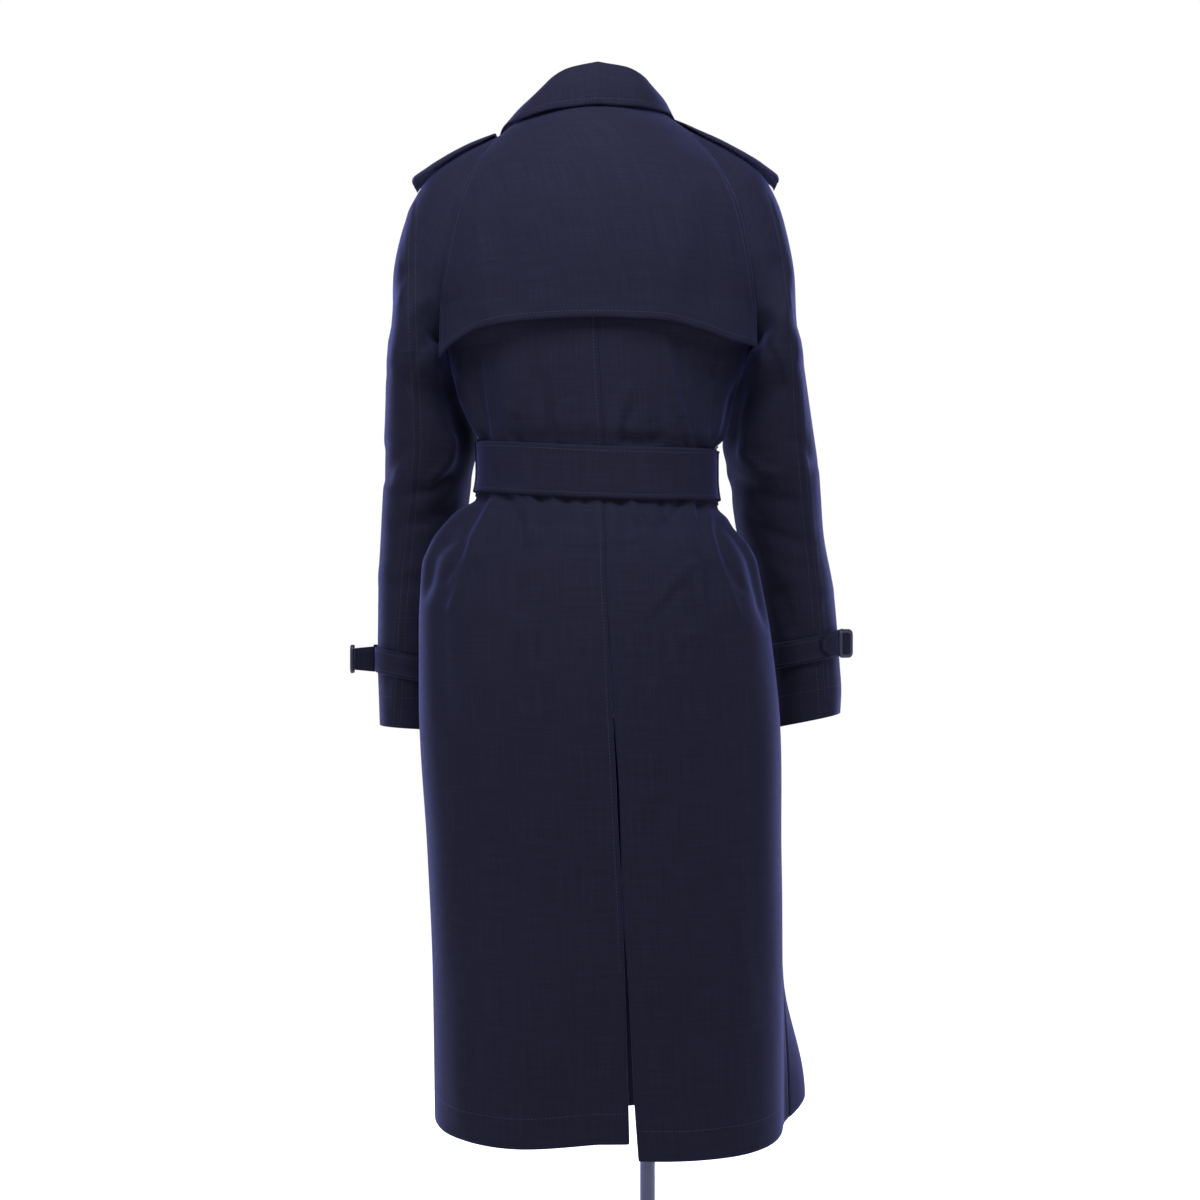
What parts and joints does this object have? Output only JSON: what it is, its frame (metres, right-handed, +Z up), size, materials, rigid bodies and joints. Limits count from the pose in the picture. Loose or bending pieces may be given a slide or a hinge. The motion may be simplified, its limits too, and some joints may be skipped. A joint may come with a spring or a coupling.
{
  "type": "trench coat on a dress form stand",
  "caption": "Belted, double-breasted trench coat with storm flap, epaulettes and cuff straps, worn by a limbless dress form on a pole and round base.",
  "frame": {"origin": "on the floor, at the axis of the stand's pole and base", "axes": "+Z up along the pole; the coat faces -Y, so +Y is its back; +X is the wearer's left"},
  "size_m": [0.5385, 0.35, 1.442],
  "materials": {
    "coat_cloth": "dense matt navy cotton twill",
    "button": "dark polished resin",
    "covered_buckle": "dark leather covering",
    "form_cover": "smooth stretched linen jersey",
    "stand_metal": "satin grey enamel"
  },
  "bodies": {
    "root": {"back_left": "coat_cloth", "back_right": "coat_cloth", "belt": "coat_cloth", "belt_buckle": "covered_buckle", "belt_keeper": "coat_cloth", "belt_loop_left": "coat_cloth", "belt_loop_right": "coat_cloth", "belt_tail": "coat_cloth", "button_left_1": "button", "button_left_2": "button", "button_left_3": "button", "button_left_4": "button", "button_right_1": "button", "button_right_2": "button", "button_right_3": "button", "button_right_4": "button", "collar": "coat_cloth", "cuff_buckle_left": "covered_buckle", "cuff_buckle_right": "covered_buckle", "cuff_strap_left": "coat_cloth", "cuff_strap_right": "coat_cloth", "cuff_tab_left": "coat_cloth", "cuff_tip_left": "coat_cloth", "cuff_tip_right": "coat_cloth", "epaulette_left": "coat_cloth", "epaulette_right": "coat_cloth", "form_base": "stand_metal", "form_neck_cap": "form_cover", "form_pole": "stand_metal", "form_torso": "form_cover", "front_left": "coat_cloth", "front_right": "coat_cloth", "lapel_left": "coat_cloth", "lapel_right": "coat_cloth", "sleeve_left_back": "coat_cloth", "sleeve_left_front": "coat_cloth", "sleeve_right_back": "coat_cloth", "sleeve_right_front": "coat_cloth", "storm_flap": "coat_cloth"}
  },
  "joints": []
}
